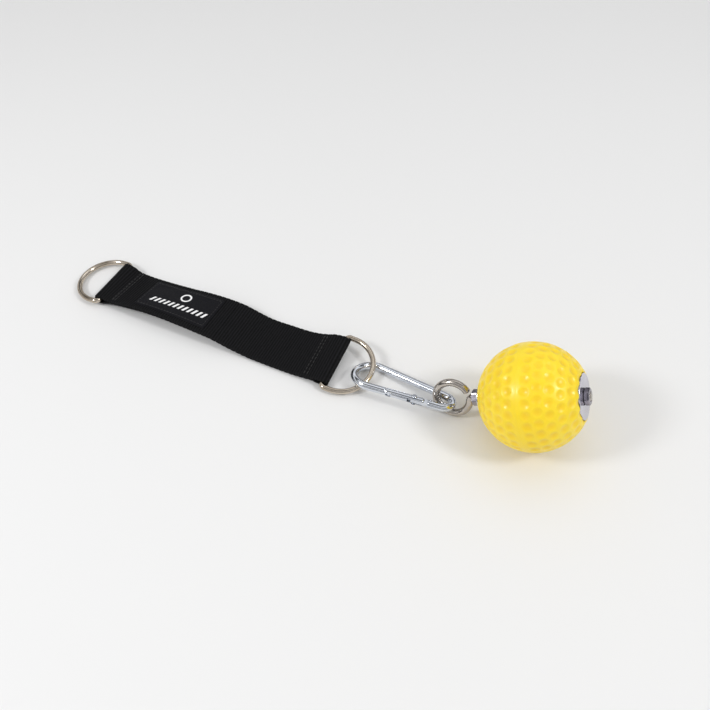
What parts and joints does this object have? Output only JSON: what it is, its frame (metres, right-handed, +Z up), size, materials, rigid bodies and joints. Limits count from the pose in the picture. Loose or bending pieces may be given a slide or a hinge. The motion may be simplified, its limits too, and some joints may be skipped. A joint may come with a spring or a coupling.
{
  "type": "hanging grip-training ball with strap",
  "caption": "Dimpled yellow grip ball on an eye bolt, held by a snap hook to a short black webbing strap with a D-ring at each end, for hanging from a bar.",
  "frame": {"origin": "middle of the laid-out object's outline, on the floor plane", "axes": "+X along the strap from the anchor D-ring towards the ball, +Z up, +Y to the far side; the gate of the snap hook is on the -Y side"},
  "size_m": [0.4014, 0.072, 0.072],
  "materials": {
    "ball_resin": "glossy moulded yellow with small dimples",
    "webbing": "woven black webbing, ribs across its width",
    "label": "smooth woven black label",
    "thread": "black sewing thread",
    "ring_nickel": "warm nickel plate",
    "zinc_plate": "bright zinc plate",
    "bright_steel": "polished plated steel",
    "spring_steel": "drawn wire"
  },
  "bodies": {
    "anchor_run": {"webbing_anchor_run": "webbing", "strap_label": "label", "label_thread": "thread", "anchor_seam_thread": "thread"},
    "anchor_d_ring": {"anchor_ring": "ring_nickel"},
    "bend_section": {"webbing_bend_section": "webbing"},
    "grip_run": {"webbing_grip_run": "webbing", "link_seam_thread": "thread"},
    "link_d_ring": {"link_ring": "ring_nickel"},
    "hook": {"hook_body": "zinc_plate", "gate_rivet": "zinc_plate"},
    "gate": {"hook_gate": "zinc_plate", "gate_spring": "spring_steel"},
    "plunger": {"gate_plunger": "zinc_plate"},
    "grip": {"eye_bolt": "bright_steel", "inner_nut": "zinc_plate", "inner_washer": "bright_steel", "ball": "ball_resin", "end_washer": "bright_steel", "end_nut": "bright_steel"}
  },
  "joints": [
    {"name": "anchor_ring_swing", "type": "hinge", "parent": "anchor_run", "child": "anchor_d_ring", "pos_m": [-0.17015, -0.0062, 0.005], "axis": [0, 1, 0], "range_deg": [-150, 150]},
    {"name": "strap_fold_near_label", "type": "hinge", "parent": "anchor_run", "child": "bend_section", "pos_m": [-0.0731, -0.0062, 0.00802], "axis": [0, 1, 0], "range_deg": [-85, 85]},
    {"name": "strap_fold_near_hook", "type": "hinge", "parent": "bend_section", "child": "grip_run", "pos_m": [-0.0591, -0.0062, 0.00739], "axis": [0, 1, 0], "range_deg": [-85, 85]},
    {"name": "link_ring_swing", "type": "hinge", "parent": "grip_run", "child": "link_d_ring", "pos_m": [0.0239, -0.0062, 0.00733], "axis": [-0.006, -0.9865, -0.1635], "range_deg": [-120, 120]},
    {"name": "hook_roll", "type": "hinge", "parent": "link_d_ring", "child": "hook", "pos_m": [0.05258, -0.0062, 0.00628], "axis": [-0.9985, 0.0322, -0.0447], "range_deg": [0, 110]},
    {"name": "gate_swing", "type": "hinge", "parent": "hook", "child": "gate", "pos_m": [0.08986, -0.01642, 0.01059], "axis": [0.034, -0.2792, -0.9596], "range_deg": [0, 24]},
    {"name": "plunger_slide", "type": "slide", "parent": "gate", "child": "plunger", "axis": [-0.9969, -0.0772, -0.0128], "range_m": [0, 0.00085], "deforming": ["gate_spring"]},
    {"name": "grip_swing", "type": "hinge", "parent": "hook", "child": "grip", "pos_m": [0.11476, -0.00869, 0.00922], "axis": [0.0434, 0.9597, -0.2777], "range_deg": [-100, 100]}
  ],
  "couplings": [
    {"joint": "plunger_slide", "follows": "gate_swing", "m_per_rad": 0.0019}
  ]
}
